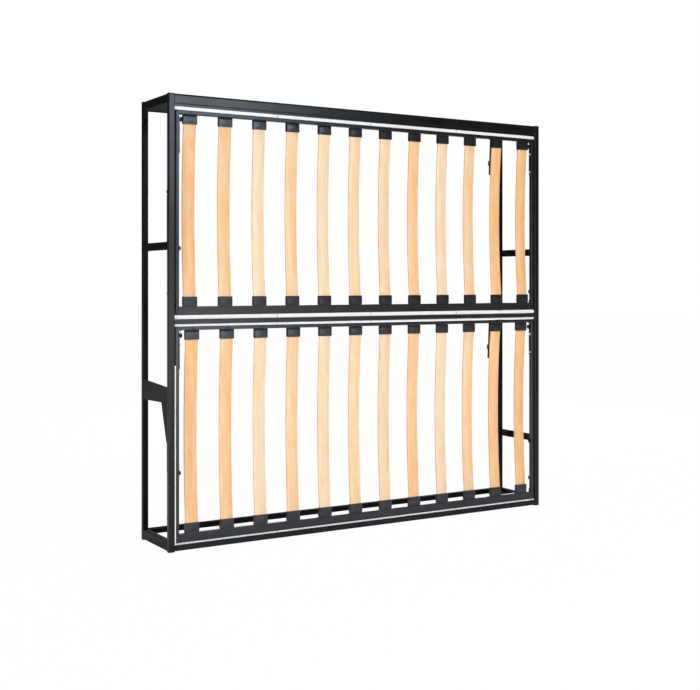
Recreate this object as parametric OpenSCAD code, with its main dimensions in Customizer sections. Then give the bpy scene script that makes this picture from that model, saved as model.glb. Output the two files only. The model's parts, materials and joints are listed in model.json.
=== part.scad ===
// Two folding single beds, one above the other, in a free-standing steel stand.
// Both beds are folded up. X runs along the beds, Y from the room to the wall, Z up.
// The origin is on the floor, in the middle of the stand.

/* [Stand] */
// Width over the outer faces of the posts
stand_w = 2110; // [1800:5:2400]
// Depth over the front and rear posts
stand_d = 330; // [326:1:450]
// Width of a front post
front_post_w = 28; // [26:1:40]
// Depth of a front post
front_post_d = 25; // [25:1:40]
// Width of a rear post
rear_post_w = 25; // [20:1:40]
// Depth of a rear post
rear_post_d = 25; // [20:1:40]
// Width of the side rails
side_rail_w = 25; // [20:1:26]
// Height of the front top rail
front_top_rail_h = 43; // [30:1:60]
// Height of the flange under the front top rail
top_flange_h = 11.5; // [6:0.5:20]
// Height of the rear top rail
rear_top_rail_h = 40; // [30:1:60]
// Height of the top side rails
side_top_rail_h = 40; // [30:1:60]
// Height of the bottom side rails
side_bottom_rail_h = 45; // [30:1:60]
// Height of the front and rear bottom rails
bottom_rail_h = 26; // [20:1:40]
// Height of the rail between the two beds
mid_rail_h = 22; // [18:1:40]
// Wall of every steel tube
tube_wall = 2; // [1.5:0.1:2.5]
// Corner radius of every steel tube
tube_corner = 3; // [2.6:0.1:4]
// Height of a foot glide's flange
foot_h = 4; // [3:0.5:8]
// Height of a post plug's flange
plug_h = 2; // [1.5:0.5:5]
// Length of a plug or glide inside its post
plug_len = 14; // [8:1:30]

/* [Bars and plate] */
// Height of a cross bar
bar_h = 36; // [30:1:50]
// Thickness of the cross bars and the gusset plate
bar_t = 4; // [3:0.5:6]
// Depth of the front bolt in a cross bar
bar_bolt_front = 88; // [60:1:120]
// Depth of the rear bolt in a cross bar, which holds the stop
bar_bolt_rear = 246; // [235:1:265]
// Rise of a cross bar's middle above the pivot
bar_lift = 10; // [8:1:11]
// Height of the gusset plate at its front end
plate_front_h = 71; // [50:1:90]
// Height of the gusset plate at its rear end
plate_rear_h = 93; // [50:1:100]
// Rise of the plate's lower front corner above the lower pivot
plate_rise = 309; // [270:1:330]
// Drop of the plate's lower edge towards the rear
plate_drop = 5.5; // [0:0.5:40]
// Width of the tapered leg under the plate
leg_w = 65; // [40:1:90]
// Length of the tapered leg
leg_h = 172; // [100:1:200]
// Width of the leg at its tip
leg_tip_w = 6; // [4:1:15]

/* [Opening strips] */
// Lengths in one row of strip
strip_count = 4; // [2:1:6]
// Thickness of a strip
strip_t = 4; // [2:0.5:5]
// Depth of a strip behind the front of the posts
strip_inset = 8; // [5:1:12]
// Joint between two lengths
strip_joint = 0.8; // [0.4:0.1:2]
// Height of the strip under the top rail
top_strip_h = 14.5; // [8:0.5:30]
// Height of the strip on the mid rail
over_mid_strip_h = 16; // [10:1:30]
// Height of the strip under the mid rail
under_mid_strip_h = 9; // [6:1:20]
// Height of the strip on the bottom rail
bottom_strip_h = 6.5; // [3:0.5:20]
// Width of the bead on the left post
bead_w = 5; // [2:0.5:5.5]
// Depth of the bead on the left post
bead_d = 3; // [2:0.1:3]
// Length of the bead on the left post
bead_len = 790; // [400:5:850]

/* [Beds] */
// Height of the lower bed when it is folded up
lower_bed_h = 954.5; // [860:0.5:1000]
// Height of the upper bed when it is folded up
upper_bed_h = 906; // [860:1:1000]
// Gap below a folded bed
bed_gap_below = 1.2; // [1:0.1:10]
// Gap above a folded bed
bed_gap_above = 1.3; // [1:0.1:10]
// Gap between a post and the end of a bed
bed_end_gap = 6; // [6:0.5:8]
// Depth of a folded bed behind the front of the posts
bed_inset = 3; // [2:0.5:5]
// Depth of the bed tubes
bed_tube_d = 20; // [20:0.5:22]
// Height of a bed's top tube
bed_top_tube_h = 17; // [16:0.5:30]
// Height of a bed's bottom tube
bed_bottom_tube_h = 39; // [20:1:45]
// Width of a bed's end tubes
bed_end_tube_w = 16; // [14:1:16]
// Rise of the lower bed's pivot above its bottom edge
lower_pivot_rise = 307.5; // [290:0.5:309]
// Rise of the upper bed's pivot above its bottom edge
upper_pivot_rise = 296; // [285:1:309]

/* [Slats] */
// Slats in one bed
slat_count = 12; // [8:1:14]
// Width of a slat
slat_w = 60; // [50:1:66]
// Thickness of a slat
slat_t = 8; // [6:0.5:10]
// Bow of a slat between its caps
slat_bow = 17; // [12:1:33]
// Depth of a slat in its cap
slat_seat = 25; // [15:1:30]
// Centre of the upper bed's first slat from the bed's end
upper_slat_margin = 70; // [69:1:100]
// Centre of the lower bed's first slat from the bed's end
lower_slat_margin = 80; // [69:1:100]
// Height of a slat cap
cap_h = 43; // [38:1:60]
// Depth of a slat cap
cap_d = 17; // [17:0.5:17.5]
// Side wall of a slat cap
cap_wall = 3.2; // [2:0.1:3.5]
// Height of the pyramid on a cap's face
cap_peak = 1.6; // [0.5:0.1:2]
// Radius of a cap's peg
peg_r = 5; // [3:0.5:6]
// Length of a cap's peg
peg_len = 10; // [5:1:14]

/* [Pivots, stops and locks] */
// Depth of the pivots and lock pins behind the front of the posts
pivot_depth = 14; // [13.5:0.1:14.5]
// Radius of a pivot pin
pivot_r = 6; // [5:0.5:6]
// Wall of a pivot bush
bush_wall = 1.9; // [1.5:0.1:2]
// Radius of a stop peg
stop_r = 8; // [6:0.5:10]
// Thickness of a closed stop's tongue
closed_stop_t = 4; // [3:0.5:5]
// Height of a closed stop
closed_stop_h = 24; // [15:1:24]
// Height of a closed stop's middle above the bed's bottom edge
closed_stop_rise = 40; // [30:1:40]
// Drop of a lock pin below the bed's top edge
lock_drop = 40; // [35:1:60]
// Drop of the first lock plate bolt
first_bolt_drop = 80; // [75:1:110]
// Drop of the second lock plate bolt
second_bolt_drop = 175; // [140:1:200]
// Width of a lock plate
lock_plate_w = 16; // [14:1:18]
// Thickness of a lock plate
lock_plate_t = 3; // [2:0.5:5]
// Radius of a lock pin
lock_pin_r = 5; // [3:0.5:5]
// Travel of a lock pin
lock_travel = 5; // [4:0.5:6]
// Radius of a lock knob
knob_r = 11; // [9:0.5:13]
// Length of a lock knob
knob_len = 6; // [5:0.5:7]
// Leg of the gusset in a top corner of a bed
corner_gusset = 15; // [12:0.5:17]
// Radius of the hole in a corner gusset
corner_hole_r = 3.5; // [2:0.5:4]

/* [Gas springs] */
// Rise of a spring's anchor above the pivot
anchor_rise = 250; // [240:1:260]
// Depth of a spring's anchor behind the front of the posts
anchor_depth = 37; // [36:0.5:42]
// Drop of a spring's stud below the pivot
stud_drop = 200; // [190:1:205]
// Depth of a spring's stud behind the front of the posts
stud_depth = 36.5; // [35:0.5:38]
// Centre of the springs from the outer face of the posts
spring_x = 12.2; // [12:0.1:14]
// Radius of a spring's cylinder
cylinder_r = 7; // [6:0.5:7]
// Length of a spring from its anchor to the end of its cylinder
cylinder_len = 245; // [235:1:255]
// Wall of a cylinder
cylinder_wall = 1.5; // [1:0.1:2]
// Radius of a spring's rod
rod_r = 3; // [2.5:0.5:4]
// Length of a spring's rod from its eye
rod_len = 228; // [224:1:230]
// Radius of a spring's eyes
eye_r = 8; // [7:0.5:9]
// Width of a spring's eyes
eye_w = 10; // [8:1:10]
// Radius of the anchor and stud pins
spring_pin_r = 4; // [3:0.5:5]

/* [Mattress strap] */
// Slat that the strap lies behind
strap_slat = 11; // [2:1:12]
// Width of the strap
strap_w = 40; // [20:1:50]
// Thickness of the strap
strap_t = 1.8; // [1:0.1:3]
// Shift of the strap to the left of its slat's centre
strap_shift = 15; // [0:1:20]
// Drop of the buckle below the bed's top edge
buckle_drop = 140; // [100:1:180]
// Height of the buckle
buckle_h = 24; // [20:1:40]
// Thickness of the buckle
buckle_t = 5; // [3:0.5:8]
// Length of the strap's sewn end below the buckle
strap_tail = 48; // [20:1:60]

/* [Wall fixing] */
// Distance between the two wall holes in the rear top rail
wall_hole_span = 1600; // [1000:10:1700]
// Radius of a wall hole
wall_hole_r = 4.5; // [3:0.5:6]

/* [Hidden] */
// Fits
run_gap = 0.05;
seat_gap = 0.1;
slip_gap = 0.3;
plug_gap = 0.2;
eps = 1;
corner_fn = 24;
round_fn = 48;
bow_fn = 720;

// Heights, from the floor up
post_z = foot_h;
front_bottom_top = post_z + bottom_rail_h;
lower_bed_z = front_bottom_top + bottom_strip_h + bed_gap_below;
mid_rail_z = lower_bed_z + lower_bed_h + bed_gap_above + under_mid_strip_h;
mid_rail_top = mid_rail_z + mid_rail_h;
upper_bed_z = mid_rail_top + over_mid_strip_h + bed_gap_below;
top_flange_z = upper_bed_z + upper_bed_h + bed_gap_above + top_strip_h;
top_rail_z = top_flange_z + top_flange_h;
post_top = top_rail_z + front_top_rail_h;
lower_pivot_z = lower_bed_z + lower_pivot_rise;
upper_pivot_z = upper_bed_z + upper_pivot_rise;
rear_bottom_z = post_z + side_bottom_rail_h - bottom_rail_h;

function is_upper(bed) = bed == "upper";
function bed_z(bed) = is_upper(bed) ? upper_bed_z : lower_bed_z;
function bed_h(bed) = is_upper(bed) ? upper_bed_h : lower_bed_h;
function bed_top(bed) = bed_z(bed) + bed_h(bed);
function pivot_z(bed) = is_upper(bed) ? upper_pivot_z : lower_pivot_z;
function bar_z(bed) = pivot_z(bed) + bar_lift;

// Widths, from the outer face of the left post, and depths, from the front of the posts
function left_x(x) = x - stand_w / 2;
function depth_y(d) = d - stand_d / 2;
inner_w = stand_w - 2 * front_post_w;
rear_inner_w = stand_w - 2 * rear_post_w;
bed_x = front_post_w + bed_end_gap;
bed_w = stand_w - 2 * bed_x;
bed_inner_x = bed_x + bed_end_tube_w;
bed_rear = bed_inset + bed_tube_d;
side_rail_len = stand_d - front_post_d - rear_post_d;

// Slats and caps
cap_w = slat_w + 2 * cap_wall;
cap_front = bed_inset + cap_peak + 1.4;
cap_corner = 4;
slat_depth = cap_front + cap_d / 2 + 1.5;
function slat_margin(bed) = is_upper(bed) ? upper_slat_margin : lower_slat_margin;
function slat_pitch(bed) = (bed_w - 2 * slat_margin(bed)) / (slat_count - 1);
function slat_x(bed, i) = left_x(bed_x) + slat_margin(bed) + i * slat_pitch(bed);
function slat_open(bed) = bed_h(bed) - bed_top_tube_h - bed_bottom_tube_h - 2 * cap_h;
function slat_mid_z(bed) = bed_z(bed) + bed_bottom_tube_h + cap_h + slat_open(bed) / 2;
function bow_r(bed) = (pow(slat_open(bed) / 2, 2) + pow(slat_bow, 2)) / (2 * slat_bow);

// Rivets of the top tube
rivet_r = 2;
rivet_head_r = 3.5;
rivet_head_t = 1.2;

// Mattress strap
crown_depth = slat_depth + slat_bow + slat_t / 2 + slip_gap;
strap_flat = 150;
function strap_x(bed) = slat_x(bed, strap_slat - 1) - strap_shift;

// Stops: the peg lies just over the end tube of the open bed
open_tube_rise = bed_rear - pivot_depth;
stop_rise = open_tube_rise + stop_r + slip_gap;
stop_end_x = bed_inner_x - 4;
stop_plate_t = 4;
stop_nut_x = bar_t + stop_plate_t;
function stop_z(bed) = pivot_z(bed) + stop_rise;
function bar_bolt_z(bed, depth) = depth == bar_bolt_rear ? pivot_z(bed) : bar_z(bed);
stop_plate_w = 36;
post_stop_r = 6;
post_stop_x = 21;
post_stop_w = 9;
closed_stop_depth = front_post_d + slip_gap;
closed_stop_reach = 12;
closed_stop_x = front_post_w - closed_stop_reach;
stud_tab_t = 4;

// Bushes and pins
bush_r = pivot_r + run_gap + bush_wall;
bush_flange_r = bush_r + 1.3;
bush_x = 12;
pivot_nut_r = 10.5;
pivot_nut_t = 7;

// Locks
lock_plate_x = bed_inner_x;
lock_boss_x = lock_plate_x + lock_plate_t;
lock_boss_len = 0.5;
lock_boss_r = lock_pin_r + 4;
lock_tip_x = bed_x - 4.5;
lock_plate_depth = bed_inset + bed_tube_d / 2;
lock_bolt_r = 3;
lock_bolt_head_r = 6;
lock_bolt_head_t = 4;

// Gas springs
spring_dy = stud_depth - anchor_depth;
spring_dz = anchor_rise + stud_drop;
spring_len = norm([spring_dy, spring_dz]);
spring_tilt = atan2(spring_dy, spring_dz);
cylinder_bore_r = cylinder_r - cylinder_wall;
cylinder_top = 16;
cylinder_end_t = 4;
guide_len = 12;
piston_len = 8;
anchor_ear_t = 4;
anchor_ear_x = spring_x + cylinder_r + 2;
anchor_h = 60;
anchor_ear_past = 14;
anchor_ear_end = anchor_depth + anchor_ear_past;
anchor_base_x = bar_t + slip_gap;
pin_head_t = 2;
pin_rim = 2.5;

// Bolts of the stand
bolt_r = 4;
bolt_head_r = 6;
bolt_head_t = 2;
bolt_nut_t = 5;
rail_screw_r = 4;
rail_screw_x = stand_w / 2 - 75;
rail_screw_rise = 10;

// Flange under the front top rail
flange_inset = 5;
flange_t = 3;

BEDS = ["upper", "lower"];
STAND_NODES = [
    "front_post_left", "front_post_right", "rear_post_left", "rear_post_right",
    "top_rail_front", "top_rail_rear", "top_rail_left", "top_rail_right", "mid_rail",
    "bottom_rail_front", "bottom_rail_rear", "bottom_rail_left", "bottom_rail_right",
    "cross_bar_upper_left", "cross_bar_upper_right", "cross_bar_lower_right", "gusset_plate",
    "post_plugs", "foot_glides", "opening_strips", "spring_anchors", "open_stops",
    "pivot_bushes", "stand_bolts"
];
BED_NODES = [
    "top_tube", "bottom_tube", "end_tube_left", "end_tube_right", "slats", "slat_caps",
    "cap_rivets", "lock_plates", "lock_bolts", "pivot_pins", "spring_studs", "closed_stops",
    "strap", "strap_buckle", "lock_plunger_left", "lock_plunger_right", "spring_cylinders",
    "spring_rods"
];

STEEL = "#2f3237";
PLASTIC = "#34373c";
BEECH = "#f3c592";
WHITE = "#f0f0f4";
ZINC = "#b8bdc3";
WEBBING = "#17181a";

// Plain shapes

module rounded_rect(w, h, r) {
    translate([r, 0]) square([w - 2 * r, h]);
    translate([0, r]) square([w, h - 2 * r]);
    for (x = [r, w - r]) for (y = [r, h - r]) translate([x, y]) circle(r, $fn = corner_fn);
}

module tube_section(w, h) {
    difference() {
        rounded_rect(w, h, tube_corner);
        translate([tube_wall, tube_wall])
            rounded_rect(w - 2 * tube_wall, h - 2 * tube_wall, tube_corner - tube_wall);
    }
}

// Turns a profile drawn as depth and height into a solid along X
module along_x(x, len) {
    translate([x, depth_y(0), 0]) rotate([90, 0, 90]) linear_extrude(len) children();
}

// Turns a profile drawn as X and height into a solid along Y
module along_y(depth, len) {
    translate([0, depth_y(depth + len), 0]) rotate([90, 0, 0]) linear_extrude(len) children();
}

module tube_x(x, len, depth, d, z, h) {
    along_x(x, len) translate([depth, z]) tube_section(d, h);
}

module tube_y(x, w, depth, len, z, h) {
    along_y(depth, len) translate([x, z]) tube_section(w, h);
}

module tube_z(x, w, depth, d, z, h) {
    translate([x, depth_y(depth), z]) linear_extrude(h) tube_section(w, d);
}

// A cylinder along X from one place to another, at a depth and a height
module rod_x(x, end, depth, z, r, fn = round_fn) {
    translate([x, depth_y(depth), z]) rotate([0, 90, 0]) cylinder(r = r, h = end - x, $fn = fn);
}

// A cylinder along Y
module rod_y(x, depth, end, z, r) {
    translate([x, depth_y(depth), z]) rotate([-90, 0, 0]) cylinder(r = r, h = end - depth, $fn = round_fn);
}

module right_side() {
    mirror([1, 0, 0]) children();
}

module both_sides() {
    children();
    right_side() children();
}

// Stand: posts and rails

module front_post() {
    color(STEEL) difference() {
        tube_z(left_x(0), front_post_w, 0, front_post_d, post_z, post_top - post_z);
        for (bed = BEDS) {
            rod_x(left_x(front_post_w - tube_wall - eps), left_x(front_post_w + eps), pivot_depth,
                pivot_z(bed), bush_r + seat_gap);
            rod_x(left_x(front_post_w - tube_wall - eps), left_x(front_post_w + eps), pivot_depth,
                bed_top(bed) - lock_drop, lock_pin_r + slip_gap);
        }
    }
}

module rear_post() {
    color(STEEL) tube_z(left_x(0), rear_post_w, stand_d - rear_post_d, rear_post_d, post_z,
        post_top - post_z);
}

module top_rail_front() {
    color(STEEL) difference() {
        union() {
            tube_x(left_x(front_post_w), inner_w, 0, front_post_d, top_rail_z, front_top_rail_h);
            along_x(left_x(front_post_w), inner_w) translate([flange_inset, top_flange_z])
                square([flange_t, top_flange_h + eps]);
        }
        rod_y(rail_screw_x, -eps, tube_wall + eps, top_rail_z + rail_screw_rise, rail_screw_r + seat_gap);
    }
}

module top_rail_rear() {
    color(STEEL) difference() {
        tube_x(left_x(rear_post_w), rear_inner_w, stand_d - rear_post_d, rear_post_d,
            post_top - rear_top_rail_h, rear_top_rail_h);
        for (side = [-1, 1])
            rod_y(side * wall_hole_span / 2, stand_d - rear_post_d - eps, stand_d + eps,
                post_top - rear_top_rail_h / 2, wall_hole_r);
    }
}

module top_rail_side() {
    color(STEEL) tube_y(left_x(0), side_rail_w, front_post_d, side_rail_len, post_top - side_top_rail_h,
        side_top_rail_h);
}

module mid_rail() {
    color(STEEL) tube_x(left_x(front_post_w), inner_w, 0, front_post_d, mid_rail_z, mid_rail_h);
}

module bottom_rail_front() {
    color(STEEL) tube_x(left_x(front_post_w), inner_w, 0, front_post_d, post_z, bottom_rail_h);
}

module bottom_rail_rear() {
    color(STEEL) tube_x(left_x(rear_post_w), rear_inner_w, stand_d - rear_post_d, rear_post_d,
        rear_bottom_z, bottom_rail_h);
}

module bottom_rail_side() {
    color(STEEL) tube_y(left_x(0), side_rail_w, front_post_d, side_rail_len, post_z, side_bottom_rail_h);
}

// Stand: bars and plate welded between the posts, flush with their outer faces

module cross_bar(bed) {
    color(STEEL) difference() {
        along_x(left_x(0), bar_t) translate([front_post_d, bar_z(bed) - bar_h / 2])
            square([side_rail_len, bar_h]);
        for (depth = [bar_bolt_front, bar_bolt_rear])
            rod_x(left_x(-eps), left_x(bar_t + eps), depth, bar_bolt_z(bed, depth), bolt_r + seat_gap);
    }
}

module gusset_plate() {
    plate_z = lower_pivot_z + plate_rise;
    leg_tip_z = plate_z - leg_h;
    rear = stand_d - rear_post_d;
    front = front_post_d;
    slope = plate_drop / side_rail_len;
    color(STEEL) along_x(left_x(0), bar_t) polygon([
        [front, plate_z + plate_front_h], [rear, plate_z - plate_drop + plate_rear_h],
        [rear, plate_z - plate_drop], [front + leg_w, plate_z - slope * leg_w],
        [front + leg_tip_w, leg_tip_z], [front, leg_tip_z]
    ]);
}

// A flange on the end of a post and the plug inside it
module post_plug(w, d, depth, flange_z, flange_h, inner_z) {
    gap = tube_wall + plug_gap;
    translate([left_x(0), depth_y(depth), flange_z]) linear_extrude(flange_h) rounded_rect(w, d, tube_corner);
    translate([left_x(gap), depth_y(depth + gap), inner_z]) cube([w - 2 * gap, d - 2 * gap, plug_len]);
}

module post_plugs() {
    color(PLASTIC) both_sides() {
        post_plug(front_post_w, front_post_d, 0, post_top, plug_h, post_top - plug_len);
        post_plug(rear_post_w, rear_post_d, stand_d - rear_post_d, post_top, plug_h, post_top - plug_len);
    }
}

module foot_glides() {
    color(PLASTIC) both_sides() {
        post_plug(front_post_w, front_post_d, 0, 0, foot_h, foot_h);
        post_plug(rear_post_w, rear_post_d, stand_d - rear_post_d, 0, foot_h, foot_h);
    }
}

// Stand: white strips round the openings

module strip_row() {
    len = (inner_w - (strip_count + 1) * strip_joint) / strip_count;
    for (i = [0 : strip_count - 1])
        along_x(left_x(front_post_w + strip_joint + i * (len + strip_joint)), len) children();
}

module opening_strips() {
    color(WHITE) {
        strip_row() translate([strip_inset, top_flange_z - top_strip_h]) square([strip_t, top_strip_h]);
        strip_row() translate([strip_inset, mid_rail_top]) square([strip_t, over_mid_strip_h]);
        strip_row() translate([strip_inset, mid_rail_z - under_mid_strip_h])
            square([strip_t, under_mid_strip_h]);
        strip_row() translate([strip_inset, front_bottom_top]) square([strip_t, bottom_strip_h]);
        along_x(left_x(front_post_w), bead_w) translate([tube_corner - bead_d / 2, front_bottom_top])
            square([bead_d, bead_len]);
    }
}

// Stand: what carries the beds and their springs

module spring_anchor(bed) {
    z = pivot_z(bed) + anchor_rise;
    ear_end = anchor_ear_x + anchor_ear_t;
    inner = left_x(spring_x + eye_w / 2 + slip_gap);
    outer = left_x(spring_x - eye_w / 2 - slip_gap);
    head = outer - pin_head_t;
    ear = left_x(anchor_ear_x);
    translate([left_x(anchor_base_x), depth_y(front_post_d), z - anchor_h / 2])
        cube([ear_end - anchor_base_x, anchor_ear_t, anchor_h]);
    along_x(ear, anchor_ear_t) translate([front_post_d, z - anchor_h / 4])
        square([anchor_ear_end - front_post_d, anchor_h / 2]);
    rod_x(inner, ear + eps, anchor_depth, z, spring_pin_r + pin_rim);
    rod_x(head, ear, anchor_depth, z, spring_pin_r);
    rod_x(head, outer, anchor_depth, z, spring_pin_r + pin_rim);
}

module spring_anchors() {
    color(STEEL) both_sides() for (bed = BEDS) spring_anchor(bed);
}

module bar_stop(bed) {
    difference() {
        along_x(left_x(bar_t), stop_plate_t)
            translate([bar_bolt_rear - stop_plate_w / 2, bar_z(bed) - bar_h / 2])
                rounded_rect(stop_plate_w, bar_h, tube_corner);
        rod_x(left_x(bar_t - eps), left_x(stop_nut_x + eps), bar_bolt_rear, pivot_z(bed),
            bolt_r + seat_gap);
    }
    rod_x(left_x(bar_t + stop_plate_t / 2), left_x(stop_end_x), bar_bolt_rear, stop_z(bed), stop_r);
}

// Where there is no bar, the stop is on the back of the front post
module post_stop(bed) {
    z = pivot_z(bed) + open_tube_rise + post_stop_r + slip_gap;
    along_x(left_x(post_stop_x), post_stop_w) translate([front_post_d, z - stop_plate_w / 2])
        square([stop_plate_t, stop_plate_w]);
    rod_x(left_x(post_stop_x), left_x(stop_end_x), front_post_d + post_stop_r, z, post_stop_r);
}

module open_stops() {
    color(STEEL) {
        both_sides() bar_stop("upper");
        right_side() bar_stop("lower");
        post_stop("lower");
    }
}

module pivot_bush(bed) {
    flange_end = bed_x - bed_end_gap / 10;
    difference() {
        union() {
            rod_x(left_x(bush_x), left_x(flange_end), pivot_depth, pivot_z(bed), bush_r);
            rod_x(left_x(front_post_w), left_x(flange_end), pivot_depth, pivot_z(bed), bush_flange_r);
        }
        rod_x(left_x(bush_x - eps), left_x(flange_end + eps), pivot_depth, pivot_z(bed), pivot_r + run_gap);
    }
}

module pivot_bushes() {
    color(PLASTIC) both_sides() for (bed = BEDS) pivot_bush(bed);
}

module bar_bolt(bed, depth, end) {
    z = bar_bolt_z(bed, depth);
    rod_x(left_x(-bolt_head_t), left_x(0), depth, z, bolt_head_r);
    rod_x(left_x(-eps), left_x(end), depth, z, bolt_r);
}

module bar_bolts(bed) {
    bar_bolt(bed, bar_bolt_front, bar_t);
    bar_bolt(bed, bar_bolt_rear, stop_nut_x + bolt_nut_t);
    rod_x(left_x(stop_nut_x), left_x(stop_nut_x + bolt_nut_t), bar_bolt_rear, pivot_z(bed),
        bolt_head_r, 6);
}

module stand_bolts() {
    color(STEEL) {
        both_sides() bar_bolts("upper");
        right_side() bar_bolts("lower");
        rod_y(rail_screw_x, 0, tube_wall * 2, top_rail_z + rail_screw_rise, rail_screw_r);
    }
}

// Beds: frame

module bed_tube_hole(x, z, up) {
    translate([x, depth_y(slat_depth), z - (up ? tube_wall + eps : eps)])
        cylinder(r = peg_r + seat_gap, h = tube_wall + 2 * eps, $fn = round_fn);
}

// What is left of a bed's tube between its two mitre cuts, drawn as X and height
module bed_outline(points) {
    along_y(bed_inset - eps, bed_tube_d + 2 * eps) polygon(points);
}

module bed_top_tube(bed) {
    x = left_x(bed_x);
    z = bed_top(bed);
    inner_z = z - bed_top_tube_h;
    color(STEEL) difference() {
        intersection() {
            tube_x(x, bed_w, bed_inset, bed_tube_d, inner_z, bed_top_tube_h);
            bed_outline([[x, z], [-x, z], [-x - bed_end_tube_w, inner_z], [x + bed_end_tube_w, inner_z]]);
        }
        for (i = [0 : slat_count - 1]) {
            bed_tube_hole(slat_x(bed, i), inner_z, false);
            rod_y(slat_x(bed, i), bed_inset - eps, bed_inset + tube_wall + eps, z - bed_top_tube_h / 2,
                rivet_r + seat_gap);
        }
    }
}

module bed_bottom_tube(bed) {
    x = left_x(bed_x);
    z = bed_z(bed);
    inner_z = z + bed_bottom_tube_h;
    color(STEEL) difference() {
        intersection() {
            tube_x(x, bed_w, bed_inset, bed_tube_d, z, bed_bottom_tube_h);
            bed_outline([[x, z], [-x, z], [-x - bed_end_tube_w, inner_z], [x + bed_end_tube_w, inner_z]]);
        }
        for (i = [0 : slat_count - 1]) bed_tube_hole(slat_x(bed, i), inner_z, true);
    }
}

module bed_end_tube(bed) {
    x = left_x(bed_x);
    inner_x = left_x(bed_inner_x);
    top = bed_top(bed);
    bottom = bed_z(bed);
    color(STEEL) difference() {
        intersection() {
            tube_z(x, bed_end_tube_w, bed_inset, bed_tube_d, bottom, bed_h(bed));
            bed_outline([
                [x, bottom], [x, top], [inner_x, top - bed_top_tube_h], [inner_x, bottom + bed_bottom_tube_h]
            ]);
        }
        rod_x(x - eps, inner_x + eps, pivot_depth, pivot_z(bed), pivot_r + seat_gap);
        rod_x(x - eps, inner_x + eps, pivot_depth, top - lock_drop, lock_pin_r + slip_gap);
        for (drop = [first_bolt_drop, second_bolt_drop])
            rod_x(inner_x - tube_wall - eps, inner_x + eps, lock_plate_depth, top - drop,
                lock_bolt_r + seat_gap);
    }
}

// Beds: slats and caps

// Section of a slat, as depth and height, with a margin all round
module slat_section(bed, margin) {
    r = bow_r(bed);
    len = slat_open(bed) + 2 * (slat_seat + margin);
    intersection() {
        translate([slat_depth + slat_bow - r, slat_mid_z(bed)]) difference() {
            circle(r + slat_t / 2 + margin, $fn = bow_fn);
            circle(r - slat_t / 2 - margin, $fn = bow_fn);
        }
        translate([slat_depth - 2 * slat_t, slat_mid_z(bed) - len / 2]) square([slat_bow + 4 * slat_t, len]);
    }
}

module slat(bed, x, margin = 0) {
    along_x(x - slat_w / 2 - margin, slat_w + 2 * margin) slat_section(bed, margin);
}

module slats(bed) {
    color(BEECH) for (i = [0 : slat_count - 1]) slat(bed, slat_x(bed, i));
}

// A low pyramid on the face of a cap
module cap_pyramid(x, z) {
    rim = 3;
    hw = cap_w / 2 - rim;
    hh = cap_h / 2 - rim;
    translate([x, depth_y(cap_front), z]) polyhedron(
        points = [[-hw, 0, -hh], [hw, 0, -hh], [hw, 0, hh], [-hw, 0, hh], [0, -cap_peak, 0],
            [-hw, eps, -hh], [hw, eps, -hh], [hw, eps, hh], [-hw, eps, hh]],
        faces = [[0, 4, 1], [1, 4, 2], [2, 4, 3], [3, 4, 0], [5, 6, 7, 8],
            [0, 1, 6, 5], [1, 2, 7, 6], [2, 3, 8, 7], [3, 0, 5, 8]]);
}

module slat_cap(bed, x, z, up) {
    difference() {
        union() {
            along_y(cap_front, cap_d) translate([x - cap_w / 2, z]) rounded_rect(cap_w, cap_h, cap_corner);
            translate([x, depth_y(slat_depth), up ? z + cap_h - eps : z - peg_len])
                cylinder(r = peg_r, h = peg_len + eps, $fn = round_fn);
            cap_pyramid(x, z + cap_h / 2);
        }
        slat(bed, x, slip_gap);
    }
}

module slat_caps(bed) {
    color(PLASTIC) for (i = [0 : slat_count - 1]) {
        slat_cap(bed, slat_x(bed, i), bed_top(bed) - bed_top_tube_h - cap_h, true);
        slat_cap(bed, slat_x(bed, i), bed_z(bed) + bed_bottom_tube_h, false);
    }
}

module cap_rivets(bed) {
    z = bed_top(bed) - bed_top_tube_h / 2;
    color(STEEL) for (i = [0 : slat_count - 1]) {
        rod_y(slat_x(bed, i), bed_inset - rivet_head_t, bed_inset, z, rivet_head_r);
        rod_y(slat_x(bed, i), bed_inset - eps, bed_inset + tube_wall, z, rivet_r);
    }
}

// Beds: locks, pivots and spring studs

// A small triangle with a hole in the inner corner of the top tube and the end tube
module corner_gusset(bed) {
    x = left_x(bed_inner_x);
    top = bed_top(bed) - bed_top_tube_h;
    hole = corner_gusset / 3;
    along_y(lock_plate_depth - lock_plate_t / 2, lock_plate_t) difference() {
        polygon([[x, top], [x + corner_gusset, top], [x, top - corner_gusset]]);
        translate([x + hole, top - hole]) circle(corner_hole_r, $fn = round_fn);
    }
}

module lock_plates(bed) {
    lock_z = bed_top(bed) - lock_drop;
    top = lock_z + lock_boss_r + 4;
    bottom = bed_top(bed) - second_bolt_drop - lock_plate_w;
    boss_end = lock_boss_x + lock_boss_len;
    color(STEEL) both_sides() difference() {
        union() {
            along_x(left_x(lock_plate_x), lock_plate_t)
                translate([lock_plate_depth - lock_plate_w / 2, bottom])
                    rounded_rect(lock_plate_w, top - bottom, lock_plate_w / 3);
            rod_x(left_x(lock_plate_x), left_x(boss_end), pivot_depth, lock_z, lock_boss_r);
            corner_gusset(bed);
        }
        rod_x(left_x(lock_plate_x - eps), left_x(boss_end + eps), pivot_depth, lock_z, lock_pin_r + run_gap);
        for (drop = [first_bolt_drop, second_bolt_drop])
            rod_x(left_x(lock_plate_x - eps), left_x(boss_end + eps), lock_plate_depth, bed_top(bed) - drop,
                lock_bolt_r + seat_gap);
    }
}

module lock_bolts(bed) {
    head = left_x(lock_boss_x);
    color(ZINC) both_sides() for (drop = [first_bolt_drop, second_bolt_drop]) {
        rod_x(head, head + lock_bolt_head_t, lock_plate_depth, bed_top(bed) - drop, lock_bolt_head_r);
        rod_x(left_x(lock_plate_x - tube_wall), head + eps, lock_plate_depth, bed_top(bed) - drop,
            lock_bolt_r);
    }
}

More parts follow.
